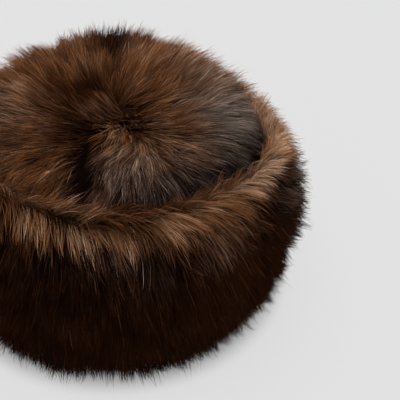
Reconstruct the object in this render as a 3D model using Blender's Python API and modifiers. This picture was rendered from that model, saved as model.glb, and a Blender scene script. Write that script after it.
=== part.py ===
"""A round pillbox hat of deep fur: a cloth crown with a flat top, a turned-up cuff, and the fur of both.

Metres, +Z up. The hat rests on its opening. Its axis is the Z axis and the surface it rests on is z = 0.
Azimuths are in degrees from +X towards +Y, and the front of the hat faces -Y.
"""
import math
import random

import bmesh
import bpy

COLLECTION_NAME = "fur_pillbox_hat"

# Cloth
HEAD_RADIUS = 0.092
CLOTH_WALL = 0.0025
SEAT_GAP = 0.0003
CROWN_HEIGHT = 0.124
CROWN_EDGE_RADIUS = 0.022
CUFF_DROP = 0.016

# Pile, measured square to the cloth that carries it
SIDE_PILE = 0.0092
RIM_PILE = 0.0165
TOP_PILE = 0.0285
BACK_RISE = 0.009
CUFF_PILE = 0.0392
FLOOR_PILE = 0.0110
RIDGE_BACK_PILE = 0.014
RIDGE_FRONT_PILE = 0.052
CREASE_GAP = 0.0012
WHORL_RADIUS = 0.016

# Where the crease's straight wall starts, as a share of the way from the cuff cloth's top up to the crease
CREASE_FOOT = 0.2

# Where the ridge starts its rise to the high front and where it is full, as shares of the way to the front
RIDGE_STARTS = -0.4
RIDGE_FULL = 0.6

# Locks of fur: how far their tips lift and their roots sink
LOCK_LIFT = 0.0065
LOCK_ROOT = 0.0035

# Along a row, as shares of its length: tips past its end, notches before it, and where a lock bulges
TIP_OVERLAP = 0.50
NOTCH_SHARE = 0.25
BULGE_SHARE = 0.45

# Square to the fur, as shares of the lift: a bulge, the furrow beside it, and the notch between two tips
BULGE_LIFT = 0.80
FURROW_LIFT = -0.15
NOTCH_LIFT = 0.10

# How far locks differ, as a share of their size, and how many there are
LOCK_SPREAD = 0.4
LOCKS = 32
CROWN_ROWS = 6
CUFF_ROWS = 9
CROWN_LOCKS_END = 0.92
CUFF_LOCKS_START = 0.066
SEED = 11

CROWN_EDGE_STEPS = 4
BASE_LINE_STEPS = 10
ROUND_STEPS = 2 * LOCKS

CLOTH_COLOUR = (0.030, 0.016, 0.010)
CROWN_PILE_COLOUR = (0.070, 0.035, 0.020)
CUFF_PILE_COLOUR = (0.090, 0.045, 0.025)
CLOTH_ROUGHNESS = 0.9
PILE_ROUGHNESS = 0.7

CROWN_OUTER_RADIUS = HEAD_RADIUS + CLOTH_WALL
CROWN_FOOT = CLOTH_WALL + SEAT_GAP
CUFF_INNER_RADIUS = CROWN_OUTER_RADIUS + SIDE_PILE + 2 * SEAT_GAP
CUFF_OUTER_RADIUS = CUFF_INNER_RADIUS + CLOTH_WALL
CUFF_HEIGHT = CROWN_HEIGHT - CUFF_DROP
CROWN_FUR_RADIUS = CROWN_OUTER_RADIUS + RIM_PILE
CROWN_FUR_HEIGHT = CROWN_HEIGHT + TOP_PILE
CREASE_RADIUS = CROWN_FUR_RADIUS + CREASE_GAP
CUFF_FUR_RADIUS = CUFF_OUTER_RADIUS + CUFF_PILE
FLOOR_RADIUS = CUFF_OUTER_RADIUS + FLOOR_PILE
RIDGE_BACK = CUFF_HEIGHT + RIDGE_BACK_PILE
RIDGE_FRONT = CUFF_HEIGHT + RIDGE_FRONT_PILE

# Outer line of the crown's fur below its locks, from the whorl over the rim to the crease.
# reach: share of the crown fur's radius. rise: share of the crown fur's height.
CROWN_SECTION = [
    {"reach": 0.00, "rise": 0.975},
    {"reach": 0.20, "rise": 0.990},
    {"reach": 0.45, "rise": 1.000},
    {"reach": 0.70, "rise": 0.995},
    {"reach": 0.88, "rise": 0.957},
    {"reach": 0.98, "rise": 0.900},
    {"reach": 1.00, "rise": 0.860},
    {"reach": 0.98, "rise": 0.800},
]

# Outer line of the cuff's fur below its locks, from the crease over the ridge and down to the floor.
# reach: share of the way from the crease (0) to the cuff fur's radius (1). rise: share of the ridge's height.
CUFF_SECTION = [
    {"reach": 0.00, "rise": 0.900},
    {"reach": 0.07, "rise": 0.970},
    {"reach": 0.24, "rise": 1.000},
    {"reach": 0.55, "rise": 0.940},
    {"reach": 0.84, "rise": 0.820},
    {"reach": 0.99, "rise": 0.660},
    {"reach": 0.98, "rise": 0.490},
    {"reach": 0.83, "rise": 0.290},
    {"reach": 0.52, "rise": 0.110},
]

# Partings and dents in the fur. azimuth and turn: where the valley starts and how far it turns, in degrees.
# start, end: shares of the way along the section. depth: share of the lift. width: degrees.
CROWN_DENTS = [
    {"azimuth": 246, "turn": 8, "start": 0.10, "end": 0.62, "depth": 1.5, "width": 11},
    {"azimuth": 58, "turn": -14, "start": 0.12, "end": 0.34, "depth": 0.9, "width": 14},
]
CUFF_DENTS = [
    {"azimuth": 257, "turn": 4, "start": 0.08, "end": 0.24, "depth": 1.3, "width": 7},
    {"azimuth": 274, "turn": 16, "start": 0.08, "end": 0.34, "depth": 1.1, "width": 6},
    {"azimuth": 322, "turn": 8, "start": 0.30, "end": 0.60, "depth": 0.9, "width": 9},
]


def clear_scene():
    for obj in list(bpy.data.objects):
        bpy.data.objects.remove(obj, do_unlink=True)


def part_collection():
    collection = bpy.data.collections.new(COLLECTION_NAME)
    bpy.context.scene.collection.children.link(collection)
    return collection


def material(name, colour, roughness):
    made = bpy.data.materials.new(name)
    made.use_nodes = True
    shader = made.node_tree.nodes["Principled BSDF"]
    shader.inputs["Base Color"].default_value = (*colour, 1.0)
    shader.inputs["Roughness"].default_value = roughness
    shader.inputs["Metallic"].default_value = 0.0
    return made


def add_object(collection, name, mesh, finish):
    obj = bpy.data.objects.new(name, mesh)
    collection.objects.link(obj)
    mesh.materials.append(finish)
    mesh.shade_smooth()
    return obj


def profile_mesh(name, points, closed):
    mesh = bpy.data.meshes.new(name)
    edges = [(i, i + 1) for i in range(len(points) - 1)]
    if closed:
        edges.append((len(points) - 1, 0))
    mesh.from_pydata([(r, 0.0, z) for r, z in points], edges, [])
    return mesh


def add_screw(obj):
    screw = obj.modifiers.new("turn", "SCREW")
    screw.angle = math.tau
    screw.steps = ROUND_STEPS
    screw.render_steps = ROUND_STEPS
    screw.use_merge_vertices = True
    screw.merge_threshold = 0.00001
    screw.use_smooth_shade = True


def crown_line(outset):
    """Half section of the crown cloth's outer face, moved outward by outset, from the axis to the foot."""
    radius = CROWN_OUTER_RADIUS + outset
    top = CROWN_HEIGHT + outset
    edge = CROWN_EDGE_RADIUS + outset
    points = [(0.0, top)]
    for step in range(CROWN_EDGE_STEPS + 1):
        angle = 0.5 * math.pi * (1.0 - step / CROWN_EDGE_STEPS)
        points.append((radius - edge + edge * math.cos(angle), top - edge + edge * math.sin(angle)))
    points.append((radius, CROWN_FOOT))
    return points


def make_crown_cloth(collection):
    mesh = profile_mesh("crown_cloth", crown_line(0.0), closed=False)
    cloth = material("crown_backing", CLOTH_COLOUR, CLOTH_ROUGHNESS)
    obj = add_object(collection, "crown_cloth", mesh, cloth)
    add_screw(obj)
    wall = obj.modifiers.new("wall", "SOLIDIFY")
    wall.thickness = CLOTH_WALL
    wall.offset = -1.0
    wall.use_even_offset = True
    return obj


def make_cuff_cloth(collection):
    points = [
        (CUFF_OUTER_RADIUS, CUFF_HEIGHT),
        (CUFF_OUTER_RADIUS, 0.0),
        (HEAD_RADIUS, 0.0),
        (HEAD_RADIUS, CLOTH_WALL),
        (CUFF_INNER_RADIUS, CLOTH_WALL),
        (CUFF_INNER_RADIUS, CUFF_HEIGHT),
    ]
    mesh = profile_mesh("cuff_cloth", points, closed=True)
    cloth = material("cuff_backing", CLOTH_COLOUR, CLOTH_ROUGHNESS)
    obj = add_object(collection, "cuff_cloth", mesh, cloth)
    add_screw(obj)
    return obj


def between(a, b, c, d, t):
    """Smooth value at t from b (0) to c (1), where a comes before b and d after c."""
    bend = 2 * a - 5 * b + 4 * c - d
    return 0.5 * (2 * b + (c - a) * t + bend * t**2 + (3 * b - a - 3 * c + d) * t**3)


def smooth_line(points):
    """Points of a smooth curve through the given (r, z) points."""
    ends = [points[0], *points, points[-1]]
    line = []
    for corners in zip(ends, ends[1:], ends[2:], ends[3:]):
        for step in range(BASE_LINE_STEPS):
            line.append(tuple(between(*values, step / BASE_LINE_STEPS) for values in zip(*corners)))
    line.append(points[-1])
    return line


def walk(line, share, lift):
    """The (r, z) point at a share of the line's length, raised by lift square to the line."""
    lengths = [math.dist(a, b) for a, b in zip(line, line[1:])]
    left = share * sum(lengths)
    index = 0
    while index < len(lengths) - 1 and left > lengths[index]:
        left -= lengths[index]
        index += 1
    (r0, z0), (r1, z1) = line[index], line[index + 1]
    along_r = (r1 - r0) / lengths[index]
    along_z = (z1 - z0) / lengths[index]
    return r0 + along_r * left - along_z * lift, z0 + along_z * left + along_r * lift


def valley(dents, share, azimuth):
    """How deep the partings and dents are at a place on the fur, as a share of the lift."""
    depth = 0.0
    for dent in dents:
        middle = 0.5 * (dent["start"] + dent["end"])
        half = 0.5 * (dent["end"] - dent["start"])
        way = (share - middle) / half
        centre = dent["azimuth"] + dent["turn"] * 0.5 * (way + 1.0)
        across = (math.degrees(azimuth) - centre + 180.0) % 360.0 - 180.0
        depth += dent["depth"] * math.exp(-((across / dent["width"]) ** 2) - way**4)
    return depth


def ridge_height(azimuth):
    """Height of the cuff's ridge: low round the back, with a smooth rise at the sides to the high front."""
    way = (-math.sin(azimuth) - RIDGE_STARTS) / (RIDGE_FULL - RIDGE_STARTS)
    way = min(max(way, 0.0), 1.0)
    return RIDGE_BACK + (RIDGE_FRONT - RIDGE_BACK) * way * way * (3.0 - 2.0 * way)


def crown_base(azimuth):
    radius = CROWN_FUR_RADIUS - LOCK_LIFT
    height = CROWN_FUR_HEIGHT - LOCK_LIFT + BACK_RISE * max(math.sin(azimuth), 0.0)
    return smooth_line([(radius * row["reach"], height * row["rise"]) for row in CROWN_SECTION])


def cuff_base(azimuth):
    reach = CUFF_FUR_RADIUS - LOCK_LIFT - CREASE_RADIUS
    height = ridge_height(azimuth) - LOCK_LIFT
    points = [(CREASE_RADIUS + reach * row["reach"], height * row["rise"]) for row in CUFF_SECTION]
    return smooth_line([*points, (FLOOR_RADIUS, 0.0)])


class Fur:
    """Rings of points that make rows of overlapping locks on a base line turned about the axis."""

    def __init__(self, base, dents, rng):
        self.lines = [base(math.tau * i / ROUND_STEPS) for i in range(ROUND_STEPS)]
        self.dents = dents
        self.rng = rng

    def point(self, index, share, lift, shift=0.0):
        azimuth = math.tau * (index + shift) / ROUND_STEPS
        line = self.lines[index]
        sunk = valley(self.dents, share, azimuth) * LOCK_LIFT
        r, z = walk(line, min(share, 1.0), lift - sunk)
        return r * math.cos(azimuth), r * math.sin(azimuth), max(z, 0.0)

    def even_ring(self, share, lift):
        return [self.point(i, share, lift) for i in range(ROUND_STEPS)]

    def lock_row(self, start, end, stagger):
        """Three rings: the locks' bulge, their tips and notches, and the roots of the row below."""
        length = end - start
        bulge, tips = [], []
        for index in range(ROUND_STEPS):
            shift = LOCK_SPREAD * (self.rng.random() - 0.5)
            growth = 1.0 - LOCK_SPREAD * self.rng.random()
            if index % 2 == stagger:
                lift = BULGE_LIFT * LOCK_LIFT * growth
                bulge.append(self.point(index, start + BULGE_SHARE * length, lift, shift))
                tips.append(self.point(index, end + TIP_OVERLAP * length * growth, LOCK_LIFT * growth, shift))
            else:
                bulge.append(self.point(index, start + BULGE_SHARE * length, FURROW_LIFT * LOCK_LIFT))
                tips.append(self.point(index, end - NOTCH_SHARE * length * growth, NOTCH_LIFT * LOCK_LIFT))
        return [bulge, tips, self.even_ring(end, -LOCK_ROOT)]


def round_ring(radius, height):
    turns = [math.tau * i / ROUND_STEPS for i in range(ROUND_STEPS)]
    return [(radius * math.cos(turn), radius * math.sin(turn), height) for turn in turns]


def loft(name, rings, first_point=None, last_point=None):
    """A closed mesh through the rings: capped at the two points, or joined round when there are none."""
    shape = bmesh.new()
    rows = [[shape.verts.new(point) for point in ring] for ring in rings]
    pairs = list(zip(rows, rows[1:]))
    if first_point is None:
        pairs.append((rows[-1], rows[0]))
    for upper, lower in pairs:
        for i in range(ROUND_STEPS):
            j = (i + 1) % ROUND_STEPS
            shape.faces.new((upper[i], lower[i], lower[j], upper[j]))
    if first_point is not None:
        top = shape.verts.new(first_point)
        under = shape.verts.new(last_point)
        for i in range(ROUND_STEPS):
            j = (i + 1) % ROUND_STEPS
            shape.faces.new((top, rows[0][i], rows[0][j]))
            shape.faces.new((under, rows[-1][j], rows[-1][i]))
    bmesh.ops.triangulate(shape, faces=shape.faces)
    bmesh.ops.recalc_face_normals(shape, faces=shape.faces)
    mesh = bpy.data.meshes.new(name)
    shape.to_mesh(mesh)
    shape.free()
    return mesh


def make_crown_fur(collection, rng):
    fur = Fur(crown_base, CROWN_DENTS, rng)
    whorl_share = WHORL_RADIUS / sum(math.dist(a, b) for a, b in zip(fur.lines[0], fur.lines[0][1:]))
    rings = [fur.even_ring(whorl_share, 0.0)]
    row_length = (CROWN_LOCKS_END - whorl_share) / CROWN_ROWS
    for row in range(CROWN_ROWS):
        start = whorl_share + row_length * row
        rings += fur.lock_row(start, start + row_length, row % 2)
    side = CUFF_INNER_RADIUS - SEAT_GAP
    rings.append(round_ring(side, CUFF_HEIGHT))
    rings.append(round_ring(side, CROWN_FOOT))
    inner = crown_line(SEAT_GAP)
    for r, z in reversed(inner[1:]):
        rings.append(round_ring(r, z))
    top = (0.0, 0.0, (CROWN_FUR_HEIGHT - LOCK_LIFT) * CROWN_SECTION[0]["rise"])
    under = (0.0, 0.0, inner[0][1])
    mesh = loft("crown_fur", rings, top, under)
    pile = material("crown_pile", CROWN_PILE_COLOUR, PILE_ROUGHNESS)
    return add_object(collection, "crown_fur", mesh, pile)


def make_cuff_fur(collection, rng):
    fur = Fur(cuff_base, CUFF_DENTS, rng)
    inner = CUFF_OUTER_RADIUS + SEAT_GAP
    crease = fur.even_ring(0.0, 0.0)
    foot = [(x, y, CUFF_HEIGHT + CREASE_FOOT * (z - CUFF_HEIGHT)) for x, y, z in crease]
    rings = [round_ring(inner, 0.0), round_ring(inner, CUFF_HEIGHT), foot, crease]
    rings.append(fur.even_ring(CUFF_LOCKS_START, 0.0))
    row_length = (1.0 - CUFF_LOCKS_START) / CUFF_ROWS
    for row in range(CUFF_ROWS):
        start = CUFF_LOCKS_START + row_length * row
        rings += fur.lock_row(start, start + row_length, row % 2)
    mesh = loft("cuff_fur", rings)
    pile = material("cuff_pile", CUFF_PILE_COLOUR, PILE_ROUGHNESS)
    return add_object(collection, "cuff_fur", mesh, pile)


def main():
    clear_scene()
    collection = part_collection()
    rng = random.Random(SEED)
    make_crown_cloth(collection)
    make_cuff_cloth(collection)
    make_crown_fur(collection, rng)
    make_cuff_fur(collection, rng)


main()
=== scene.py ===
"""The fur pillbox hat: undercoat, pile, cloth, floor, light and camera."""
import math

import bmesh
import bpy
import numpy as np
from mathutils import Matrix, Vector


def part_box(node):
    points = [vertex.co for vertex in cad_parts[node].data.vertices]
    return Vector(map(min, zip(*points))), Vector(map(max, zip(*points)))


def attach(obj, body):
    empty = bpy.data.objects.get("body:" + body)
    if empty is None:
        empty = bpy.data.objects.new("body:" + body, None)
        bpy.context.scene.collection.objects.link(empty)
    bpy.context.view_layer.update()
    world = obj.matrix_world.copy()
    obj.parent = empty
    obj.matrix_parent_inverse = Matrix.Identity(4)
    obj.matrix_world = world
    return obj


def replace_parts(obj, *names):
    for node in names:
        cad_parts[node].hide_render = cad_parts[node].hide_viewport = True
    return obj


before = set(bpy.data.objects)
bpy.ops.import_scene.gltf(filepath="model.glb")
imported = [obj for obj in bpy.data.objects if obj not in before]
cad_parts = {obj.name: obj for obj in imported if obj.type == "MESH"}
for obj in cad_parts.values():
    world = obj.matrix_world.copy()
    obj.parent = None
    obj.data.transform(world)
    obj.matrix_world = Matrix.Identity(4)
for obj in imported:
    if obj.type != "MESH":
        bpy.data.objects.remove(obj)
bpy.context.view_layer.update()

# Sizes read from the frame
CUFF_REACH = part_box("cuff_fur")[1][0]
CROWN_CLOTH_RADIUS, _, CROWN_CLOTH_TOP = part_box("crown_cloth")[1]
BAND_RADIUS, _, BAND_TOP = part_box("cuff_cloth")[1]

# The same fur sections as the solids. Lengths are in metres, and reach and rise are shares. The ridge rises
# from back to front between two values of minus the azimuth's sine.
LOCK_LIFT = 0.0065
CREASE_GAP = 0.0012
RIM_PILE = 0.0165
TOP_PILE = 0.0285
BACK_RISE = 0.009
CUFF_PILE = 0.0392
FLOOR_PILE = 0.0110
RIDGE_BACK_PILE = 0.014
RIDGE_FRONT_PILE = 0.052
RIDGE_STARTS = -0.4
RIDGE_FULL = 0.6

CROWN_FUR_RADIUS = CROWN_CLOTH_RADIUS + RIM_PILE
CROWN_FUR_HEIGHT = CROWN_CLOTH_TOP + TOP_PILE
CREASE_RADIUS = CROWN_FUR_RADIUS + CREASE_GAP
CUFF_FUR_RADIUS = BAND_RADIUS + CUFF_PILE
FLOOR_RADIUS = BAND_RADIUS + FLOOR_PILE
RIDGE_BACK = BAND_TOP + RIDGE_BACK_PILE
RIDGE_FRONT = BAND_TOP + RIDGE_FRONT_PILE

CROWN_SECTION = [
    {"reach": 0.00, "rise": 0.975},
    {"reach": 0.20, "rise": 0.990},
    {"reach": 0.45, "rise": 1.000},
    {"reach": 0.70, "rise": 0.995},
    {"reach": 0.88, "rise": 0.957},
    {"reach": 0.98, "rise": 0.900},
    {"reach": 1.00, "rise": 0.860},
    {"reach": 0.98, "rise": 0.800},
]
CUFF_SECTION = [
    {"reach": 0.00, "rise": 0.900},
    {"reach": 0.07, "rise": 0.970},
    {"reach": 0.24, "rise": 1.000},
    {"reach": 0.55, "rise": 0.940},
    {"reach": 0.84, "rise": 0.820},
    {"reach": 0.99, "rise": 0.660},
    {"reach": 0.98, "rise": 0.490},
    {"reach": 0.83, "rise": 0.290},
    {"reach": 0.52, "rise": 0.110},
]
# Partings and dents, in degrees and shares of the section, with depth in metres, below 0 for a swell
CROWN_DENTS = [
    {"azimuth": 240, "turn": 18, "start": 0.16, "end": 0.84, "depth": 0.008, "width": 7},
    {"azimuth": 52, "turn": -14, "start": 0.14, "end": 0.36, "depth": 0.005, "width": 12},
    {"azimuth": 278, "turn": 0, "start": 0.06, "end": 0.74, "depth": -0.008, "width": 42},
]
CUFF_DENTS = [
    {"azimuth": 257, "turn": 4, "start": 0.08, "end": 0.20, "depth": 0.010, "width": 8},
    {"azimuth": 272, "turn": 12, "start": 0.08, "end": 0.26, "depth": 0.008, "width": 5},
    {"azimuth": 322, "turn": 8, "start": 0.30, "end": 0.60, "depth": 0.004, "width": 9},
]

# Colour of the pile, charted from the photo. tone runs from black brown (0) to tan (1), and grey from warm
# (0) to grey (1).
# Azimuth and its width are in degrees, share and its length in shares of the section.
CROWN_TONE = 0.50
CROWN_GREY = 0.08
CROWN_PATCHES = [
    {"azimuth": 89, "share": 0.60, "wide": 11, "long": 0.32, "tone": -0.42, "grey": 0.10},
    {"azimuth": 118, "share": 0.50, "wide": 18, "long": 0.25, "tone": -0.06, "grey": -0.08},
    {"azimuth": 162, "share": 0.30, "wide": 34, "long": 0.13, "tone": -0.24, "grey": -0.10},
    {"azimuth": 122, "share": 0.19, "wide": 30, "long": 0.12, "tone": -0.42, "grey": -0.45},
    {"azimuth": 148, "share": 0.11, "wide": 32, "long": 0.07, "tone": -0.13, "grey": -0.40},
    {"azimuth": 302, "share": 0.27, "wide": 18, "long": 0.10, "tone": -0.14, "grey": -0.10},
    {"azimuth": 62, "share": 0.66, "wide": 16, "long": 0.22, "tone": 0.10, "grey": -0.05},
    {"azimuth": 38, "share": 0.74, "wide": 14, "long": 0.15, "tone": 0.10, "grey": 0.05},
    # Grey on the crown's right side: partly grey hair, partly painted sheen
    {"azimuth": 2, "share": 0.76, "wide": 22, "long": 0.18, "tone": 0.06, "grey": 0.85},
    {"azimuth": 335, "share": 0.62, "wide": 24, "long": 0.22, "tone": 0.00, "grey": 0.45},
    {"azimuth": 288, "share": 0.66, "wide": 30, "long": 0.20, "tone": -0.05, "grey": 0.30},
    {"azimuth": 45, "share": 0.26, "wide": 22, "long": 0.08, "tone": -0.06, "grey": 0.00},
    {"azimuth": 292, "share": 0.64, "wide": 7, "long": 0.12, "tone": 0.06, "grey": 0.10},
    {"azimuth": 270, "share": 0.09, "wide": 60, "long": 0.07, "tone": 0.05, "grey": -0.25},
    {"azimuth": 280, "share": 0.82, "wide": 9, "long": 0.08, "tone": -0.36, "grey": 0.10},
    {"azimuth": 272, "share": 0.28, "wide": 34, "long": 0.13, "tone": 0.04, "grey": -0.30},
    {"azimuth": 205, "share": 0.24, "wide": 22, "long": 0.09, "tone": -0.24, "grey": 0.00},
    {"azimuth": 228, "share": 0.25, "wide": 10, "long": 0.08, "tone": -0.38, "grey": 0.00},
    # Darker along the parting at the front left, on this line, the next two and at azimuth 254 below: painted
    # shade in its crease
    {"azimuth": 245, "share": 0.38, "wide": 8, "long": 0.11, "tone": -0.66, "grey": 0.00},
    {"azimuth": 252, "share": 0.53, "wide": 5, "long": 0.12, "tone": -0.48, "grey": 0.00},
    {"azimuth": 257, "share": 0.70, "wide": 4, "long": 0.12, "tone": -0.34, "grey": 0.00},
    {"azimuth": 257, "share": 0.25, "wide": 12, "long": 0.09, "tone": 0.42, "grey": -0.30},
    {"azimuth": 268, "share": 0.58, "wide": 14, "long": 0.16, "tone": -0.07, "grey": 0.05},
    # Painted shade in the parting's crease
    {"azimuth": 254, "share": 0.62, "wide": 8, "long": 0.22, "tone": -0.58, "grey": 0.00},
    {"azimuth": 222, "share": 0.46, "wide": 20, "long": 0.22, "tone": -0.20, "grey": -0.10},
    {"azimuth": 318, "share": 0.86, "wide": 28, "long": 0.18, "tone": -0.40, "grey": 0.60},
    {"azimuth": 355, "share": 0.97, "wide": 30, "long": 0.12, "tone": -0.32, "grey": 0.50},
]
# The cuff is lighter along its ridge and darker down its side: painted light on the ridge and painted shade
# down the side.
PAINTED_LIGHT_RIDGE_TONE = 0.59
PAINTED_SHADE_SIDE_TONE = 0.09
SIDE_STARTS = 0.19
SIDE_FULL = 0.40
CUFF_GREY = -0.07
CUFF_PATCHES = [
    # Lighter patches along the ridge at the right, on this line and the next three: painted highlight
    {"azimuth": 10, "share": 0.12, "wide": 36, "long": 0.10, "tone": 0.28, "grey": 0.00},
    {"azimuth": 338, "share": 0.15, "wide": 20, "long": 0.07, "tone": 0.20, "grey": 0.00},
    {"azimuth": 328, "share": 0.21, "wide": 14, "long": 0.06, "tone": 0.34, "grey": 0.00},
    {"azimuth": 346, "share": 0.17, "wide": 14, "long": 0.06, "tone": 0.24, "grey": 0.00},
    {"azimuth": 260, "share": 0.05, "wide": 26, "long": 0.045, "tone": 0.22, "grey": 0.00},
    {"azimuth": 258, "share": 0.16, "wide": 13, "long": 0.035, "tone": -0.72, "grey": -0.20},
    {"azimuth": 250, "share": 0.17, "wide": 9, "long": 0.035, "tone": -0.55, "grey": 0.00},
    {"azimuth": 274, "share": 0.215, "wide": 9, "long": 0.035, "tone": -0.40, "grey": 0.00},
    {"azimuth": 282, "share": 0.22, "wide": 5, "long": 0.05, "tone": -0.20, "grey": 0.00},
    {"azimuth": 258, "share": 0.225, "wide": 24, "long": 0.05, "tone": 0.40, "grey": 0.00},
    {"azimuth": 267, "share": 0.26, "wide": 8, "long": 0.04, "tone": 0.44, "grey": 0.00},
    {"azimuth": 289, "share": 0.20, "wide": 9, "long": 0.05, "tone": 0.26, "grey": 0.00},
    {"azimuth": 279, "share": 0.06, "wide": 8, "long": 0.04, "tone": -0.40, "grey": 0.00},
    {"azimuth": 269, "share": 0.10, "wide": 12, "long": 0.035, "tone": 0.14, "grey": 0.00},
    {"azimuth": 279, "share": 0.175, "wide": 8, "long": 0.03, "tone": -0.26, "grey": 0.00},
    {"azimuth": 273, "share": 0.35, "wide": 24, "long": 0.06, "tone": -0.03, "grey": 0.46},
    {"azimuth": 261, "share": 0.31, "wide": 16, "long": 0.04, "tone": -0.10, "grey": 0.10},
    {"azimuth": 301, "share": 0.34, "wide": 9, "long": 0.08, "tone": 0.20, "grey": 0.30},
    {"azimuth": 308, "share": 0.50, "wide": 26, "long": 0.20, "tone": 0.09, "grey": 0.00},
    {"azimuth": 350, "share": 0.34, "wide": 40, "long": 0.10, "tone": -0.04, "grey": 0.45},
    {"azimuth": 258, "share": 0.64, "wide": 5, "long": 0.04, "tone": 0.12, "grey": -0.05},
]

# Places on the hat. azimuth and wide are in degrees, share, long, after and before in shares of the section.
# sides and ends are the powers that shape a place's edges. whorl is a distance from the whorl in metres.
PLACES = {
    "all": {},
    "upright": {"whorl": 0.022},
    "swirl": {"share": 0.0, "long": 0.15},
    "back_rim": {"azimuth": 85, "wide": 68, "share": 0.62, "long": 0.28},
    "front_top": {"azimuth": 278, "wide": 50, "share": 0.38, "long": 0.36, "ends": 4},
    "rim": {"after": (0.78, 0.95)},
    "crown_streaks": {"azimuth": 280, "wide": 40, "share": 0.66, "long": 0.20},
    "crease": {"before": (0.0, 0.12)},
    "beside_crease": {"azimuth": 252, "wide": 26, "before": (0.08, 0.20)},
    "ridge": {"before": (0.06, 0.38)},
    "side": {"after": (0.15, 0.40)},
    "low": {"after": (0.45, 0.75)},
    "lowest": {"after": (0.70, 0.95)},
    "low_right": {"azimuth": 312, "wide": 28, "after": (0.45, 0.75)},
    "right": {"azimuth": -8, "wide": 20},
    "back_right": {"azimuth": 42, "wide": 20, "share": 0.0, "long": 0.30, "ends": 4},
    "swept": {"azimuth": -52, "wide": 74},
    "straight": {"azimuth": 246, "wide": 20, "after": (0.08, 0.18)},
    "combed": {"azimuth": -38, "wide": 30, "before": (0.20, 0.40)},
    "painted_shade_right": {"azimuth": -18, "wide": 34},
    "calm_side": {"after": (0.3, 0.6)},
    "cuff_streaks": {"azimuth": 285, "wide": 36, "share": 0.33, "long": 0.08},
    "smooth_right": {"azimuth": -25, "wide": 45, "before": (0.22, 0.34)},
    "smooth_front": {"azimuth": 256, "wide": 14, "before": (0.34, 0.46)},
    "tuft_painted_light": {"azimuth": -6, "wide": 20, "share": 0.32, "long": 0.20},
    "short_tufts": {"azimuth": 304, "wide": 20, "sides": 4},
}

# What hair adds up from these places: length in metres, lift in radians, lean in degrees. On the cuff,
# the sweep is a share of the lean, STRAIGHTENED is a share that is lost, and CREASE_LEAN is in radians.
CROWN_LENGTH = {"all": 0.028, "back_rim": 0.006, "front_top": 0.003, "rim": -0.012}
CROWN_ROOT_LIFT = {"all": 0.85, "upright": 0.15, "front_top": -0.60}
CROWN_TIP_LIFT = {"all": 0.18, "back_rim": 0.30, "upright": 0.30, "rim": -0.22, "front_top": -0.30}
CROWN_LEAN = {"all": -5.0, "swirl": -32.0}
CUFF_LENGTH = {
    "all": 0.031, "low": -0.003, "low_right": -0.0018, "crease": -0.006, "right": -0.007, "back_right": 0.006,
}
CUFF_ROOT_LIFT = {"all": 0.90, "right": -0.10, "combed": -0.35}
CUFF_TIP_LIFT = {"all": 0.22, "side": 0.20, "back_right": 0.25}
CUFF_LEAN = {"all": 12.0, "ridge": 56.0}
CUFF_SWEEP = {"all": 0.3, "swept": 0.7}
STRAIGHTENED = 0.75
CREASE_LEAN = 0.6
TUFT_LENGTH = {"all": 0.027, "short_tufts": -0.006}
TUFT_ROOT_LIFT = {"all": 0.95}
TUFT_TIP_LIFT = {"all": 0.72}
TUFT_LEAN = {"all": 50.0}
FRINGE_LENGTH = {"all": 0.022}
FRINGE_ROOT_LIFT = {"all": 0.95, "lowest": 0.25}
FRINGE_TIP_LIFT = {"all": 0.80, "lowest": 0.30}
FRINGE_LEAN = {"all": 8.0}

# How much the tones of strands side by side differ
CROWN_CONTRAST = {"all": 1.0, "crown_streaks": 0.8}
CUFF_CONTRAST = {
    "all": 1.0, "calm_side": -0.6, "cuff_streaks": 0.9, "smooth_right": -0.6, "smooth_front": -0.48,
}

# Waves in the chart: seed, sizes in metres, and how far broad and fine ones shift tone, grey and edge
CHART_SEED = 3
BROAD_SIZE = 0.012
FINE_SIZE = 0.005
TONE_WAVES = (0.05, 0.03)
EDGE_WAVES = (0.020, 0.015)
CROWN_GREY_WAVE = 0.12
CUFF_GREY_WAVE = 0.08

# Share of the waves that the cuff's painted shade down its side loses, and how much sooner that painted shade
# starts at the right
SIDE_CALM = 0.6
PAINTED_SHADE_RIGHT_RISE = 0.13

# The tufts' tone as a share of the cuff's and a part of its own, and the tone and grey of the painted light
# on them
TUFT_TONE_SHARE = 0.5
TUFT_TONE = 0.05
TUFT_PAINTED_LIGHT_TONE = 0.46
TUFT_PAINTED_LIGHT_GREY = 0.62

# Camera, fitted to the photo: focal length in pixels, the pixel and the height of a point on the hat's axis,
# and the camera's distance and height angle from that point
IMAGE_SIZE = 400
FOCAL_PIXELS = 1023.0
AIM_PIXEL = (114.0, 193.0)
AIM_HEIGHT = 0.070
CAMERA_DISTANCE = 0.80
CAMERA_ELEVATION = math.radians(40.0)
SENSOR = 36.0
CLIP_START = 0.01
CLIP_END = 50.0

# Grid of a coat, its depth under the smooth section, the spread of roots, and the whorl's place and reach
GRID_TURNS = 160
GRID_SHARES = 96
LINE_STEPS = 12
CROWN_SINK = 0.008
CUFF_SINK = 0.0085
ROOT_TABLE = 200
WHORL_ROOM = 0.004
WHORL = (0.005, 0.009)
WHORL_REACH = 0.07

# Guide strands: the seed of all draws but the chart's, steps, sizes of the waves that turn them, and how far
# waves and chance turn and lift them
SEED = 5
CURVE_STEPS = 10
LEAN_WAVE_SIZE = 0.020
LIFT_WAVE_SIZE = 0.012
FINE_WAVE_SIZE = 0.004
LEAN_WAVE = 0.14
LEAN_FINE = 0.08
LIFT_WAVE = 0.07
LIFT_FINE = 0.06
OWN_TURN = 0.10
LENGTH_SPREAD = (0.8, 1.12)

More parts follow.
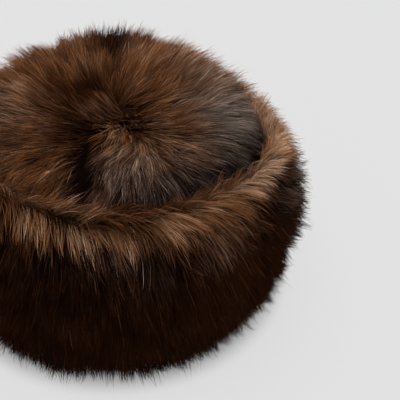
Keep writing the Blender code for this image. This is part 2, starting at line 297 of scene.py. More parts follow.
# Strands: where their four points lie along the guide, their own length, and how they gather and stray
STEM = [0.10, 0.42, 0.72, 1.0]
OWN_LENGTH = 0.90
OWN_LENGTH_SPREAD = 0.15
OWN_LENGTH_LIMITS = (0.45, 1.20)
STRAY_WANDER = 3.0
GATHER_BEND = 1.2
WANDER_BEND = 1.5

# How far hair reaches past the solids and stays off the floor, in metres. FLOOR_PUSH is the share of its
# depth under that skin by which hair moves outward.
HAIR_ROOM = 0.0160
HAIR_REACH = CUFF_REACH + HAIR_ROOM
FLOOR_SKIN = 0.0006
FLOOR_PUSH = 0.4
RIBBON_FLOOR = 0.5 * FLOOR_SKIN

# A strand's ribbon: the stem point of each corner, corners of its faces, face sizes, and widths below the tip
RIBBON_STEPS = [0, 0, 1, 1, 2, 2, 3]
RIBBON_FACES = np.array([0, 1, 3, 2, 2, 3, 5, 4, 4, 5, 6])
RIBBON_SIZES = [4, 4, 3]
RIBBON_WIDTHS = [0.9, 1.0, 0.7]
RIBBON_ALONG = [0.0, 0.0, STEM[1], STEM[1], STEM[2], STEM[2], STEM[3]]
WIDTH_SPREAD = (0.7, 1.25)

# How far guides and strands differ in tone and grey, and how many strands are pale and by how much
GUIDE_TONE = 0.045
STRAND_TONE = 0.085
STRAND_GREY = 0.12
PALE_SHARE = 0.10
PALE_TONE = (0.05, 0.28)

# Hair colours as they look in the light, raised by LIT_GAIN because hairs shade each other
LIT_GAIN = 2.0
BRIGHTEST = 0.9
WARM_HAIR = [
    (0.00, (14, 5, 2)),
    (0.25, (40, 20, 9)),
    (0.50, (80, 48, 26)),
    (0.75, (123, 85, 57)),
    (1.00, (170, 136, 109)),
]
GREY_HAIR = [
    (0.00, (15, 12, 13)),
    (0.25, (40, 33, 31)),
    (0.50, (82, 70, 63)),
    (0.75, (126, 112, 103)),
    (1.00, (170, 157, 148)),
]
# Painted shade: strands darker towards the root, deep in the fur
ROOT_PAINTED_SHADE = [(0.0, 0.15), (0.35, 0.50), (0.75, 1.0), (1.0, 0.95)]
PILE_ROUGHNESS = 0.5

# Colour sockets of a mix node
MIX_FIRST = 6
MIX_SECOND = 7
MIX_RESULT = 2

# Undercoat: grid rows from ring to ring, its tone beside the hair's, and its place along a strand, which both
# darken it as painted shade deep in the fur
UNDERCOAT_STEP = 3
UNDERCOAT_TONE = 0.7
UNDERCOAT_ALONG = 0.2

# Knitted backing: its wall and rounded edge as in the solids, the room round it, its grid, slack and finish
CLOTH_WALL = 0.0025
CLOTH_EDGE = 0.022
CLOTH_GAP = 0.0003
EDGE_ROOM = 0.002
TOP_HOLE = 0.001
BACKING_EDGE = 0.006
BACKING_CUTS = 2
BACKING_MERGE = 1e-5
BACKING_SLACK = 0.0009
BACKING_FLAT = 0.040
SLACK_SIZE = 0.018
SLACK_MEAN = 0.5
SLACK_WAVE = 0.35
FOLD_ANGLE = math.radians(50.0)
KNIT_WAVE = {"Scale": 160.0, "Distortion": 1.5, "Detail Scale": 4.0}
KNIT_SPECKS = 400.0
KNIT_COLOURS = [(0.2, (40, 28, 22)), (0.8, (66, 49, 40))]
SPECK_SHADES = [(0.3, 0.75), (0.7, 1.0)]
KNIT_BUMP = {"Strength": 0.5, "Distance": 0.0006}
KNIT_ROUGHNESS = 0.9

# Floor: its glow is painted fill light, and it fades close to the hat between two distances in metres, as a
# painted contact shadow
FLOOR_SIZE = 6.0
FLOOR_COLOUR = (0.081, 0.081, 0.082, 1.0)
FLOOR_GLOW = (0.681, 0.681, 0.681, 1.0)
FLOOR_ROUGHNESS = 0.95
FLOOR_SPECULAR = 0.1
PAINTED_SHADOW_FADE = {"From Min": 0.115, "From Max": 0.146, "To Min": 0.20, "To Max": 1.0}

# Light: white from all round, and two suns with their spread in degrees
WHITE = (1.0, 1.0, 1.0, 1.0)
WORLD_LIGHT = 0.32
SUNS = [
    {"name": "key", "towards": (-0.22, 0.16, 1.0), "strength": 1.00, "spread": 35.0},
    {"name": "overhead", "towards": (0.0, 0.0, 1.0), "strength": 1.15, "spread": 100.0},
]

# Strands in each of the five long piles
FULL_STRANDS = 34800


def between(a, b, c, d, t):
    """A point from b to c on a smooth curve through four points."""
    bend = 2 * a - 5 * b + 4 * c - d
    return 0.5 * (2 * b + (c - a) * t + bend * t**2 + (3 * b - a - 3 * c + d) * t**3)


def smooth_line(points):
    ends = np.array([points[0], *points, points[-1]])
    line = []
    for corners in zip(ends, ends[1:], ends[2:], ends[3:]):
        line += [between(*corners, step / LINE_STEPS) for step in range(LINE_STEPS)]
    line.append(ends[-1])
    return np.array(line)


def even_line(line, count):
    """count points at even steps along a line."""
    lengths = np.r_[0.0, np.cumsum(np.linalg.norm(np.diff(line, axis=0), axis=1))]
    at = np.linspace(0.0, lengths[-1], count)
    return np.stack([np.interp(at, lengths, line[:, k]) for k in range(2)], axis=1)


def smooth_step(low, high, value):
    way = np.clip((value - low) / (high - low), 0.0, 1.0)
    return way * way * (3.0 - 2.0 * way)


def unit(v):
    return v / np.maximum(np.linalg.norm(v, axis=-1, keepdims=True), 1e-9)


def angle_gap(a, b):
    """Signed gap between angles in degrees."""
    return (a - b + 180.0) % 360.0 - 180.0


def from_whorl(points):
    return np.hypot(points[:, 0] - WHORL[0], points[:, 1] - WHORL[1])


def ridge_height(azimuth):
    return RIDGE_BACK + (RIDGE_FRONT - RIDGE_BACK) * smooth_step(RIDGE_STARTS, RIDGE_FULL, -math.sin(azimuth))


def crown_base(azimuth):
    radius = CROWN_FUR_RADIUS - LOCK_LIFT
    height = CROWN_FUR_HEIGHT - LOCK_LIFT + BACK_RISE * max(math.sin(azimuth), 0.0)
    return smooth_line([(radius * row["reach"], height * row["rise"]) for row in CROWN_SECTION])


def cuff_base(azimuth):
    reach = CUFF_FUR_RADIUS - LOCK_LIFT - CREASE_RADIUS
    height = ridge_height(azimuth) - LOCK_LIFT
    points = [(CREASE_RADIUS + reach * row["reach"], height * row["rise"]) for row in CUFF_SECTION]
    return smooth_line([*points, (FLOOR_RADIUS, 0.0)])


def dent_depth(dents, turn, share):
    depth = np.zeros(np.broadcast(turn, share).shape)
    for dent in dents:
        middle = 0.5 * (dent["start"] + dent["end"])
        half = 0.5 * (dent["end"] - dent["start"])
        way = (share - middle) / half
        centre = dent["azimuth"] + dent["turn"] * 0.5 * (np.clip(way, -1, 1) + 1.0)
        across = angle_gap(turn, centre) / dent["width"]
        depth += dent["depth"] * np.exp(-across**2 - way**4)
    return depth


class Coat:
    """A smooth fur surface as a grid over azimuth and share, with its flow and its normals."""

    def __init__(self, base, dents, sink):
        turns = np.linspace(0.0, 360.0, GRID_TURNS + 1)
        shares = np.linspace(0.0, 1.0, GRID_SHARES)
        lines = np.array([even_line(base(math.radians(turn)), GRID_SHARES) for turn in turns])
        angle = np.radians(turns)[:, None]
        radius, height = lines[..., 0], lines[..., 1]
        place = np.stack([radius * np.cos(angle), radius * np.sin(angle), height], -1)
        self.along = unit(np.gradient(place, axis=1))
        across = np.stack([-np.sin(angle), np.cos(angle), np.zeros_like(angle)], -1)
        self.normal = unit(np.cross(self.along, np.broadcast_to(across, place.shape)))
        depth = sink + dent_depth(dents, turns[:, None], shares[None, :])
        self.place = place - self.normal * depth[..., None]
        self.radius = radius
        self.length = np.linalg.norm(np.diff(place, axis=1), axis=2).sum(1).mean()

    def sample(self, grid, turn, share):
        u = (turn % 360.0) / 360.0 * GRID_TURNS
        v = np.clip(share, 0.0, 1.0) * (GRID_SHARES - 1)
        i = np.minimum(u.astype(int), GRID_TURNS - 1)
        j = np.minimum(v.astype(int), GRID_SHARES - 2)
        a, b = (u - i)[:, None], (v - j)[:, None]
        here = grid[i, j] * (1 - b) + grid[i, j + 1] * b
        beside = grid[i + 1, j] * (1 - b) + grid[i + 1, j + 1] * b
        return here * (1 - a) + beside * a

    def spread(self, rng, count, turns, shares):
        """Random roots, even over the surface, between the given azimuths and shares."""
        table = np.linspace(*shares, ROOT_TABLE)
        steps = table * (GRID_SHARES - 1)
        weight = np.interp(steps, np.arange(GRID_SHARES), self.radius.mean(0)) + WHORL_ROOM
        total = np.cumsum(weight)
        share = np.interp(rng.random(count) * total[-1], total, table)
        return rng.uniform(*turns, count), share


class Waves:
    """Smooth seeded noise in space, round 0 with a standard deviation of about 1."""

    def __init__(self, rng, size, count=24):
        self.k = rng.normal(size=(count, 3)) / size
        self.phase = rng.uniform(0, math.tau, count)
        self.scale = math.sqrt(2.0 / count)

    def at(self, points):
        return np.sin(points @ self.k.T + self.phase).sum(1) * self.scale


CHART_RNG = np.random.default_rng(CHART_SEED)
BROAD, FINE = Waves(CHART_RNG, BROAD_SIZE), Waves(CHART_RNG, FINE_SIZE)


def chart_waves(points, sizes):
    return sizes[0] * BROAD.at(points) + sizes[1] * FINE.at(points)


def held(place, turn, share, points):
    """How much of a place holds at each point, from 0 to 1."""
    value = np.ones_like(turn)
    if "azimuth" in place:
        value *= np.exp(-((angle_gap(turn, place["azimuth"]) / place["wide"]) ** place.get("sides", 2)))
    if "share" in place:
        value *= np.exp(-(((share - place["share"]) / place["long"]) ** place.get("ends", 2)))
    if "after" in place:
        value *= smooth_step(*place["after"], share)
    if "before" in place:
        value *= 1.0 - smooth_step(*place["before"], share)
    if "whorl" in place:
        value *= np.exp(-((from_whorl(points) / place["whorl"]) ** 2))
    return value


def added(amounts, *where):
    """The sum of amounts at named places, each as far as its place holds."""
    return sum(amount * held(PLACES[name], *where) for name, amount in amounts.items())


def patch_values(patches, field, *where):
    return sum(patch[field] * held(patch, *where) for patch in patches)


def crown_chart(*where):
    """Tone, grey and contrast between strands at places on the crown."""
    points = where[2]
    tone = CROWN_TONE + patch_values(CROWN_PATCHES, "tone", *where) + chart_waves(points, TONE_WAVES)
    grey = CROWN_GREY + patch_values(CROWN_PATCHES, "grey", *where)
    return tone, grey + CROWN_GREY_WAVE * BROAD.at(points[:, ::-1]), added(CROWN_CONTRAST, *where)


def cuff_chart(*where):
    """Tone, grey and contrast between strands at places on the cuff."""
    _, share, points = where
    # Painted shade down the cuff's side, reaching higher at the right, and painted light along its ridge
    edge = chart_waves(points, EDGE_WAVES) + PAINTED_SHADE_RIGHT_RISE * held(PLACES["painted_shade_right"], *where)
    dark = smooth_step(SIDE_STARTS, SIDE_FULL, share + edge)
    waves = TONE_WAVES[0] * BROAD.at(points[:, ::-1]) + TONE_WAVES[1] * FINE.at(points)
    tone = PAINTED_LIGHT_RIDGE_TONE * (1 - dark) + PAINTED_SHADE_SIDE_TONE * dark + waves * (1 - SIDE_CALM * dark)
    tone += patch_values(CUFF_PATCHES, "tone", *where)
    grey = CUFF_GREY + patch_values(CUFF_PATCHES, "grey", *where)
    return tone, grey + CUFF_GREY_WAVE * BROAD.at(points[:, ::-1]), added(CUFF_CONTRAST, *where)


def tuft_chart(*where):
    """Dark greyish tufts that stand out of the cuff's right side, lighter where light is painted on them."""
    tone, grey, contrast = cuff_chart(*where)
    # Painted light on the tufts at the right
    painted_light = held(PLACES["tuft_painted_light"], *where)
    tone = TUFT_TONE_SHARE * tone + TUFT_TONE + TUFT_PAINTED_LIGHT_TONE * painted_light
    return tone, grey + TUFT_PAINTED_LIGHT_GREY * painted_light, contrast


def crown_flow(coat, turn, share, points):
    """Away from the whorl along the surface."""
    normal = coat.sample(coat.normal, turn, share)
    along = coat.sample(coat.along, turn, share)
    away = points - np.array([*WHORL, 0.0])
    away[:, 2] = 0.0
    near = np.clip(1.0 - from_whorl(points) / WHORL_REACH, 0.0, 1.0)[:, None]
    away = unit(away - normal * (away * normal).sum(1, keepdims=True))
    return unit(away * near + along * (1 - near))


def cuff_flow(coat, turn, share, points):
    """Over the ridge and down the surface."""
    return coat.sample(coat.along, turn, share)


def leaning(degrees):
    return lambda *where: np.radians(added(degrees, *where))


def cuff_lean(*where):
    """Swept round the hat beside the crease, mostly at the front and right, and straighter further down."""
    swept = added(CUFF_SWEEP, *where) * (1.0 - STRAIGHTENED * held(PLACES["straight"], *where))
    return swept * np.radians(added(CUFF_LEAN, *where)) + CREASE_LEAN * held(PLACES["beside_crease"], *where)


# How each kind of pile grows. tuft, wander and width are in metres, seen is the step of 10 that is charted.
CROWN_STYLE = {
    "length": CROWN_LENGTH, "root_lift": CROWN_ROOT_LIFT, "tip_lift": CROWN_TIP_LIFT,
    "lean": leaning(CROWN_LEAN),
    "flow": crown_flow, "chart": crown_chart, "seen": 5, "sag": 0.04, "long": 0.06, "longer": 1.12,
    "tuft": 0.0020, "gather": (0.0, 0.5), "stray": 0.06, "wander": 0.0010,
    "twist": 0.9, "width": 0.00031, "soft": 0.6,
}
CUFF_STYLE = {
    "length": CUFF_LENGTH, "root_lift": CUFF_ROOT_LIFT, "tip_lift": CUFF_TIP_LIFT, "lean": cuff_lean,
    "flow": cuff_flow, "chart": cuff_chart, "seen": 7, "sag": 0.08, "long": 0.08, "longer": 1.18,
    "tuft": 0.0025, "gather": (0.0, 0.55), "stray": 0.06, "wander": 0.0011,
    "twist": 0.9, "width": 0.00034, "soft": 0.6,
}
TUFT_STYLE = {
    "length": TUFT_LENGTH, "root_lift": TUFT_ROOT_LIFT, "tip_lift": TUFT_TIP_LIFT,
    "lean": leaning(TUFT_LEAN),
    "flow": cuff_flow, "chart": tuft_chart, "seen": 5, "sag": 0.02, "long": 0.0, "longer": 1.0,
    "tuft": 0.0036, "gather": (0.65, 0.90), "stray": 0.06, "wander": 0.0010,
    "twist": 0.9, "width": 0.00034, "soft": 0.6,
}
FRINGE_STYLE = {
    "length": FRINGE_LENGTH, "root_lift": FRINGE_ROOT_LIFT, "tip_lift": FRINGE_TIP_LIFT,
    "lean": leaning(FRINGE_LEAN),
    "flow": cuff_flow, "chart": cuff_chart, "seen": 5, "sag": 0.02, "long": 0.2, "longer": 1.35,
    "tuft": 0.0030, "gather": (0.5, 0.85), "stray": 0.10, "wander": 0.0010,
    "twist": 0.9, "width": 0.00028, "soft": 0.6,
}


def material(name):
    made = bpy.data.materials.new(name)
    made.use_nodes = True
    nodes = made.node_tree.nodes
    return made, nodes, made.node_tree.links, nodes["Principled BSDF"]


def set_inputs(node, values):
    for name, value in values.items():
        node.inputs[name].default_value = value


def ramp_node(nodes, stops):
    ramp = nodes.new("ShaderNodeValToRGB")
    elements = ramp.color_ramp.elements
    while len(elements) < len(stops):
        elements.new(0.5)
    for element, (place, colour) in zip(elements, stops):
        element.position = place
        element.color = (*colour, 1.0)
    return ramp


def srgb(r, g, b):
    """Linear colour from 0 to 255 screen values."""
    return tuple((v / 255 / 12.92) if v < 10.3 else ((v / 255 + 0.055) / 1.055) ** 2.4 for v in (r, g, b))


def lit_stops(stops):
    return [(place, tuple(min(v * LIT_GAIN, BRIGHTEST) for v in srgb(*colour))) for place, colour in stops]


def even_stops(stops):
    """Stops of a ramp in shades of grey."""
    return [(place, (value,) * 3) for place, value in stops]


def attribute(nodes, name):
    node = nodes.new("ShaderNodeAttribute")
    node.attribute_name = name
    return node.outputs["Fac"]


def mixed(nodes, links, blend, factor, first, second):
    mix = nodes.new("ShaderNodeMix")
    mix.data_type = "RGBA"
    mix.blend_type = blend
    if isinstance(factor, float):
        mix.inputs[0].default_value = factor
    else:
        links.new(factor, mix.inputs[0])
    links.new(first, mix.inputs[MIX_FIRST])
    links.new(second, mix.inputs[MIX_SECOND])
    return mix.outputs[MIX_RESULT]


def pile_material(name):
    """Hair colour from each strand's tone and grey, with painted shade darkening it towards the root."""
    made, nodes, links, shader = material(name)
    warm = ramp_node(nodes, lit_stops(WARM_HAIR))
    grey = ramp_node(nodes, lit_stops(GREY_HAIR))
    shade = ramp_node(nodes, even_stops(ROOT_PAINTED_SHADE))
    links.new(attribute(nodes, "tone"), warm.inputs[0])
    links.new(attribute(nodes, "tone"), grey.inputs[0])
    links.new(attribute(nodes, "along"), shade.inputs[0])
    colour = mixed(nodes, links, "MIX", attribute(nodes, "grey"), warm.outputs[0], grey.outputs[0])
    colour = mixed(nodes, links, "MULTIPLY", 1.0, colour, shade.outputs[0])
    links.new(colour, shader.inputs["Base Color"])
    set_inputs(shader, {"Roughness": PILE_ROUGHNESS, "Specular IOR Level": 0.0})
    return made


def cloth_material():
    """Knitted backing: dark wavy rows with specks and a slight relief."""
    made, nodes, links, shader = material("backing_knit")
    coords = nodes.new("ShaderNodeTexCoord").outputs["Object"]
    wave = nodes.new("ShaderNodeTexWave")
    wave.bands_direction = "Z"
    set_inputs(wave, KNIT_WAVE)
    noise = nodes.new("ShaderNodeTexNoise")
    set_inputs(noise, {"Scale": KNIT_SPECKS})
    links.new(coords, wave.inputs["Vector"])
    links.new(coords, noise.inputs["Vector"])
    light = ramp_node(nodes, [(place, srgb(*colour)) for place, colour in KNIT_COLOURS])
    links.new(wave.outputs["Fac"], light.inputs[0])
    speck = ramp_node(nodes, even_stops(SPECK_SHADES))
    links.new(noise.outputs["Fac"], speck.inputs[0])
    colour = mixed(nodes, links, "MULTIPLY", 1.0, light.outputs[0], speck.outputs[0])
    links.new(colour, shader.inputs["Base Color"])
    bump = nodes.new("ShaderNodeBump")
    set_inputs(bump, KNIT_BUMP)
    links.new(wave.outputs["Fac"], bump.inputs["Height"])
    links.new(bump.outputs["Normal"], shader.inputs["Normal"])
    set_inputs(shader, {"Roughness": KNIT_ROUGHNESS})
    return made


def set_floats(mesh, name, values):
    layer = mesh.attributes.new(name, "FLOAT", "POINT")
    layer.data.foreach_set("value", np.ascontiguousarray(values, np.float32).ravel())


def mesh_from(name, points, faces_flat, face_sizes):
    mesh = bpy.data.meshes.new(name)
    mesh.vertices.add(len(points))
    mesh.vertices.foreach_set("co", np.ascontiguousarray(points, np.float32).ravel())
    mesh.loops.add(len(faces_flat))
    mesh.loops.foreach_set("vertex_index", np.ascontiguousarray(faces_flat, np.int32))
    mesh.polygons.add(len(face_sizes))
    starts = np.r_[0, np.cumsum(face_sizes)[:-1]]
    mesh.polygons.foreach_set("loop_start", starts.astype(np.int32))
    mesh.update(calc_edges=True)
    mesh.shade_smooth()
    return mesh


def add_piece(name, mesh, finish):
    obj = bpy.data.objects.new(name, mesh)
    bpy.context.scene.collection.objects.link(obj)
    mesh.materials.append(finish)
    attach(obj, "root")
    return obj


def grow_guides(coat, rng, turn, share, style):
    """Guide strands: points and normals at each step, and the turn and share where most of one is seen."""
    count = len(turn)
    root = coat.sample(coat.place, turn, share)
    sizes = (LEAN_WAVE_SIZE, LIFT_WAVE_SIZE, FINE_WAVE_SIZE)
    lean_noise, lift_noise, fine_noise = (Waves(rng, size) for size in sizes)
    lean = LEAN_WAVE * lean_noise.at(root) + LEAN_FINE * fine_noise.at(root) + rng.normal(0, OWN_TURN, count)
    loose = LIFT_WAVE * lift_noise.at(root) + LIFT_FINE * fine_noise.at(root[:, ::-1])
    loose = loose + rng.normal(0, OWN_TURN, count)
    lift = added(style["root_lift"], turn, share, root) + loose
    tip_lift = added(style["tip_lift"], turn, share, root) + loose
    length = added(style["length"], turn, share, root) * rng.uniform(*LENGTH_SPREAD, count)
    length *= np.where(rng.random(count) < style["long"], style["longer"], 1.0)
    points, normals = [root], [coat.sample(coat.normal, turn, share)]
    here_turn, here_share = turn.copy(), share.copy()
    step = (length / CURVE_STEPS)[:, None]
    for index in range(CURVE_STEPS):
        t = index / CURVE_STEPS
        along = style["flow"](coat, here_turn, here_share, points[-1])
        normal = coat.sample(coat.normal, here_turn, here_share)
        turned = (lean + style["lean"](here_turn, here_share, points[-1]))[:, None]
        heading = along * np.cos(turned) + np.cross(normal, along) * np.sin(turned)
        angle = (lift * (1 - t) + tip_lift * t)[:, None]
        move = heading * np.cos(angle) + normal * np.sin(angle)
        move[:, 2] -= style["sag"] * t
        move = unit(move) * step
        points.append(points[-1] + move)
        normals.append(normal)
        here_turn = np.degrees(np.arctan2(points[-1][:, 1], points[-1][:, 0]))
        down = coat.sample(coat.along, here_turn, here_share)
        here_share = np.clip(here_share + (move * down).sum(1) / coat.length, 0.0, 1.0)
        if index == style["seen"]:
            seen = here_turn, here_share
    return np.stack(points, 1), np.stack(normals, 1), seen


def strands(rng, curve, normals, count, style):
    """Points (count, 4, 3) of strands gathered round the guides, the normals beside them and their guides."""
    pick = rng.integers(0, len(curve), count)
    own = np.clip(rng.normal(OWN_LENGTH, OWN_LENGTH_SPREAD, count), *OWN_LENGTH_LIMITS)
    offset = rng.normal(0, style["tuft"], (count, 3))
    gather = rng.uniform(*style["gather"], len(curve))[pick]
    stray = np.where(rng.random(count) < style["stray"], STRAY_WANDER, 1.0)
    wander = rng.normal(0, style["wander"], (count, 3)) * stray[:, None]
    offset -= normals[pick, 0] * (offset * normals[pick, 0]).sum(1, keepdims=True)
    points, beside = [], []
    for stem in STEM:
        at = np.minimum(stem * own, 1.0) * CURVE_STEPS
        low = np.minimum(at.astype(int), CURVE_STEPS - 1)
        mix = (at - low)[:, None]
        centre = curve[pick, low] * (1 - mix) + curve[pick, low + 1] * mix
        tight = 1.0 - gather * stem**GATHER_BEND
        points.append(centre + offset * tight[:, None] + wander * stem**WANDER_BEND)
        beside.append(normals[pick, low])
    points = np.stack(points, 1)
    reach = np.linalg.norm(points[..., :2], axis=-1, keepdims=True)
    points[..., :2] *= np.minimum(HAIR_REACH / np.maximum(reach, 1e-6), 1.0)
    under = np.maximum(FLOOR_SKIN - points[..., 2], 0.0)
    points[..., :2] += unit(points[..., :2]) * under[..., None] * FLOOR_PUSH
    points[..., 2] = np.maximum(points[..., 2], FLOOR_SKIN)
    return points, np.stack(beside, 1), pick


def ribbons(name, rng, points, beside, style):
    """One mesh of tapered ribbons: two four-sided faces and a three-sided tip for each strand."""
    count = len(points)
    heading = unit(points[:, 3] - points[:, 0])
    outward = unit(beside[:, 1] - heading * (heading * beside[:, 1]).sum(1, keepdims=True))
    flat = np.cross(heading, outward)
    twist = rng.uniform(-1.0, 1.0, count)[:, None] * style["twist"]
    side = flat * np.cos(twist) + outward * np.sin(twist)
    face = outward * np.cos(twist) - flat * np.sin(twist)
    half = 0.5 * (style["width"] * rng.uniform(*WIDTH_SPREAD, count))[:, None] * side
    rows = []
    for k, width in enumerate(RIBBON_WIDTHS):
        rows += [points[:, k] - half * width, points[:, k] + half * width]
    rows.append(points[:, 3])
    verts = np.stack(rows, 1).reshape(-1, 3)
    verts[:, 2] = np.maximum(verts[:, 2], RIBBON_FLOOR)
    loops = (np.arange(count)[:, None] * len(RIBBON_STEPS) + RIBBON_FACES).ravel()
    mesh = mesh_from(name, verts, loops, np.tile(RIBBON_SIZES, count))
    soft = unit(beside * style["soft"] + face[:, None] * (1 - style["soft"]))
    mesh.normals_split_custom_set_from_vertices(soft[:, RIBBON_STEPS].reshape(-1, 3))
    set_floats(mesh, "along", np.tile(RIBBON_ALONG, count))
    return mesh


def colour_strands(mesh, rng, turn, share, points, pick, chart):
    tone, grey, contrast = chart(turn, share, points)
    count = len(pick)
    spread = rng.normal(0, GUIDE_TONE, pick.max() + 1)[pick] + rng.normal(0, STRAND_TONE, count)
    tone = tone + spread * contrast
    pale = rng.random(count) < PALE_SHARE * contrast
    tone += np.where(pale, rng.uniform(*PALE_TONE, count), 0.0)
    grey = grey + rng.normal(0, STRAND_GREY, count)
    set_floats(mesh, "tone", np.repeat(np.clip(tone, 0, 1), len(RIBBON_STEPS)))
    set_floats(mesh, "grey", np.repeat(np.clip(grey, 0, 1), len(RIBBON_STEPS)))


def make_pile(name, coat, rng, turns, shares, guides, count, style, finish, slot):
    curve, normals, seen = grow_guides(coat, rng, *coat.spread(rng, guides, turns, shares), style)
    points, beside, pick = strands(rng, curve, normals, count, style)
    mesh = ribbons(name, rng, points, beside, style)
    turn, share = seen
    colour_strands(mesh, rng, turn[pick], share[pick], points[:, 2], pick, style["chart"])
    add_piece(name, mesh, finish)


def undercoat(name, coat, inner, closed, chart, finish, node):
    """The dense fur under the long strands, in the solid's form, darkened as painted shade. closed joins the
    last ring to the first.
    """
    angle = np.radians(np.linspace(0.0, 360.0, GRID_TURNS + 1)[:-1])
    rings = [coat.place[:-1, j] for j in (*range(0, GRID_SHARES - 1, UNDERCOAT_STEP), GRID_SHARES - 1)]
    outer = len(rings)
    for radius, height in inner:
        x, y = radius * np.cos(angle), radius * np.sin(angle)
        rings.append(np.stack([x, y, np.full_like(angle, height)], 1))
    rows = len(rings)
    points = np.concatenate(rings)
    points[:, 2] = np.maximum(points[:, 2], 0.0)
    loops = []
    for row in range(rows if closed else rows - 1):
        a = row * GRID_TURNS + np.arange(GRID_TURNS)
        b = (row + 1) % rows * GRID_TURNS + np.arange(GRID_TURNS)
        loops.append(np.stack([a, b, np.roll(b, -1), np.roll(a, -1)], 1))
    loops = np.concatenate(loops)
    mesh = mesh_from(name, points, loops.ravel(), np.full(len(loops), 4))
    turn = np.degrees(np.arctan2(points[:, 1], points[:, 0]))
    share = np.repeat([min(row / (outer - 1), 1.0) for row in range(rows)], GRID_TURNS)
    tone, grey, _ = chart(turn, share, points)
    # Painted shade: a darker tone, and a place near the root
    set_floats(mesh, "tone", np.clip(tone * UNDERCOAT_TONE, 0, 1))
    set_floats(mesh, "grey", np.clip(grey, 0, 1))
    set_floats(mesh, "along", np.full(len(points), UNDERCOAT_ALONG))
    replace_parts(add_piece(name, mesh, finish), node)


def backing_piece(name, node, rng, finish):
    """The knitted backing: the solid's cloth with slack, which pulls it inwards in soft waves."""
    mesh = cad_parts[node].data.copy()
    mesh.materials.clear()
    cloth = bmesh.new()
    cloth.from_mesh(mesh)
    bmesh.ops.remove_doubles(cloth, verts=cloth.verts, dist=BACKING_MERGE)
    for _ in range(BACKING_CUTS):
        long_edges = [edge for edge in cloth.edges if edge.calc_length() > BACKING_EDGE]
        bmesh.ops.subdivide_edges(cloth, edges=long_edges, cuts=1)
    bmesh.ops.triangulate(cloth, faces=cloth.faces)
    points = np.array([vert.co for vert in cloth.verts])
    slack = BACKING_SLACK * np.clip(SLACK_MEAN + SLACK_WAVE * Waves(rng, SLACK_SIZE).at(points), 0.0, 1.0)
    inwards = points * [1.0, 1.0, 0.0]
    reach = np.linalg.norm(inwards, axis=1)
    pull = slack * np.clip(reach / BACKING_FLAT, 0.0, 1.0) / np.maximum(reach, 1e-6)
    points -= inwards * pull[:, None]
    for vert, point in zip(cloth.verts, points):
        vert.co = point
    cloth.to_mesh(mesh)
    cloth.free()
    mesh.shade_smooth()
    mesh.set_sharp_from_angle(angle=FOLD_ANGLE)
    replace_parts(add_piece(name, mesh, finish), node)


def make_floor():
    """Pale paper: a dark floor that glows as painted fill light, less so close to the hat as a painted
    shadow, where the hat shuts out fill light.
    """
    mesh = bpy.data.meshes.new("floor")
    corners = [(x * FLOOR_SIZE, y * FLOOR_SIZE, 0) for x, y in ((-1, -1), (1, -1), (1, 1), (-1, 1))]
    mesh.from_pydata(corners, [], [(0, 1, 2, 3)])
    floor = bpy.data.objects.new("floor", mesh)
    bpy.context.scene.collection.objects.link(floor)
    made, nodes, links, shader = material("floor_paper")
    set_inputs(shader, {"Base Color": FLOOR_COLOUR, "Roughness": FLOOR_ROUGHNESS})
    set_inputs(shader, {"Specular IOR Level": FLOOR_SPECULAR, "Emission Color": FLOOR_GLOW})
    coords = nodes.new("ShaderNodeTexCoord")
    reach = nodes.new("ShaderNodeVectorMath")
    reach.operation = "LENGTH"
    # Painted contact shadow: the glow fades close to the hat
    glow = nodes.new("ShaderNodeMapRange")
    glow.interpolation_type = "SMOOTHSTEP"
    set_inputs(glow, PAINTED_SHADOW_FADE)
    links.new(coords.outputs["Object"], reach.inputs[0])
    links.new(reach.outputs["Value"], glow.inputs["Value"])
    links.new(glow.outputs["Result"], shader.inputs["Emission Strength"])
    mesh.materials.append(made)


def sun_light(name, towards, strength, spread):
    data = bpy.data.lights.new(name, "SUN")
    data.energy = strength
    data.angle = math.radians(spread)
    lamp = bpy.data.objects.new(name, data)
    bpy.context.scene.collection.objects.link(lamp)
    lamp.rotation_mode = "QUATERNION"
    lamp.rotation_quaternion = Vector(towards).to_track_quat("Z", "Y")


def make_light():
    world = bpy.data.worlds.new("studio")
    bpy.context.scene.world = world
    world.use_nodes = True
    set_inputs(world.node_tree.nodes["Background"], {"Color": WHITE, "Strength": WORLD_LIGHT})
    for sun in SUNS:
        sun_light(**sun)


def make_camera():
    data = bpy.data.cameras.new("camera")
    data.sensor_width = SENSOR
    data.lens = FOCAL_PIXELS / IMAGE_SIZE * SENSOR
    data.clip_start, data.clip_end = CLIP_START, CLIP_END
    camera = bpy.data.objects.new("camera", data)
    bpy.context.scene.collection.objects.link(camera)
    e = CAMERA_ELEVATION
    back = Vector((0.0, -math.cos(e), math.sin(e)))
    up = Vector((0.0, math.sin(e), math.cos(e)))
    right = Vector((1.0, 0.0, 0.0))
    camera.location = Vector((0.0, 0.0, AIM_HEIGHT)) + back * CAMERA_DISTANCE
    yaw = -math.atan((0.5 * IMAGE_SIZE - AIM_PIXEL[0]) / FOCAL_PIXELS)
    pitch = -math.atan((0.5 * IMAGE_SIZE - AIM_PIXEL[1]) / FOCAL_PIXELS)
    pose = Matrix((right, up, back)).transposed()
    turned = pose @ Matrix.Rotation(yaw, 3, "Y") @ Matrix.Rotation(pitch, 3, "X")
    camera.rotation_mode = "QUATERNION"
    camera.rotation_quaternion = turned.to_quaternion()
    bpy.context.scene.camera = camera


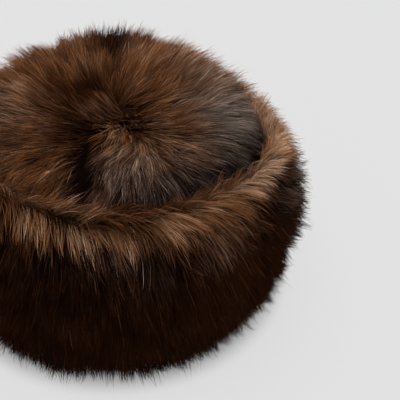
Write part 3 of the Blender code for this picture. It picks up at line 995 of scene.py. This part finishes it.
def main():
    rng = np.random.default_rng(SEED)
    bpy.context.scene.view_settings.view_transform = "Standard"
    crown_hair = pile_material("crown_hair")
    cuff_hair = pile_material("cuff_hair")
    crown_coat = Coat(crown_base, CROWN_DENTS, CROWN_SINK)
    cuff_coat = Coat(cuff_base, CUFF_DENTS, CUFF_SINK)

    # Inner faces of the undercoats, just off the cloth
    band_inside = BAND_RADIUS - CLOTH_WALL - CLOTH_GAP
    band_outside = BAND_RADIUS + CLOTH_GAP
    crown_side = CROWN_CLOTH_RADIUS + CLOTH_GAP
    crown_foot = CLOTH_WALL + CLOTH_GAP
    crown_top = CROWN_CLOTH_TOP + CLOTH_GAP
    edge_foot = CROWN_CLOTH_TOP - CLOTH_EDGE - EDGE_ROOM
    crown_inner = [
        (band_inside, BAND_TOP),
        (band_inside, crown_foot),
        (crown_side, crown_foot),
        (crown_side, edge_foot),
        (CROWN_CLOTH_RADIUS - CLOTH_EDGE, crown_top),
        (TOP_HOLE, crown_top),
    ]
    cuff_inner = [(band_outside, 0.0), (band_outside, BAND_TOP)]
    undercoat(
        "crown_undercoat", crown_coat, crown_inner, False, crown_chart, crown_hair, "crown_fur"
    )
    undercoat("cuff_undercoat", cuff_coat, cuff_inner, True, cuff_chart, cuff_hair, "cuff_fur")

    amount = FULL_STRANDS
    crown = {"coat": crown_coat, "finish": crown_hair, "slot": "crown_pile", "rng": rng}
    cuff = {"coat": cuff_coat, "finish": cuff_hair, "slot": "cuff_pile", "rng": rng}
    crown_long = {"shares": (0.0, 0.95), "guides": 2500, "count": amount, "style": CROWN_STYLE, **crown}
    cuff_long = {"shares": (0.0, 1.0), "guides": 3800, "count": amount, "style": CUFF_STYLE, **cuff}
    make_pile("crown_pile_back", turns=(0, 180), **crown_long)
    make_pile("crown_pile_front", turns=(180, 360), **crown_long)
    make_pile("cuff_pile_front", turns=(210, 330), **cuff_long)
    make_pile("cuff_pile_right", turns=(-30, 90), **cuff_long)
    make_pile("cuff_pile_left", turns=(90, 210), **cuff_long)
    make_pile(
        "cuff_tufts", turns=(-78, 30), shares=(0.24, 0.90), guides=350, count=8000, style=TUFT_STYLE, **cuff
    )
    make_pile(
        "cuff_fringe", turns=(0, 360), shares=(0.45, 1.0), guides=900, count=9000, style=FRINGE_STYLE, **cuff
    )

    knit = cloth_material()
    backing_piece("crown_backing", "crown_cloth", rng, knit)
    backing_piece("cuff_backing", "cuff_cloth", rng, knit)
    make_floor()
    make_light()
    make_camera()


main()
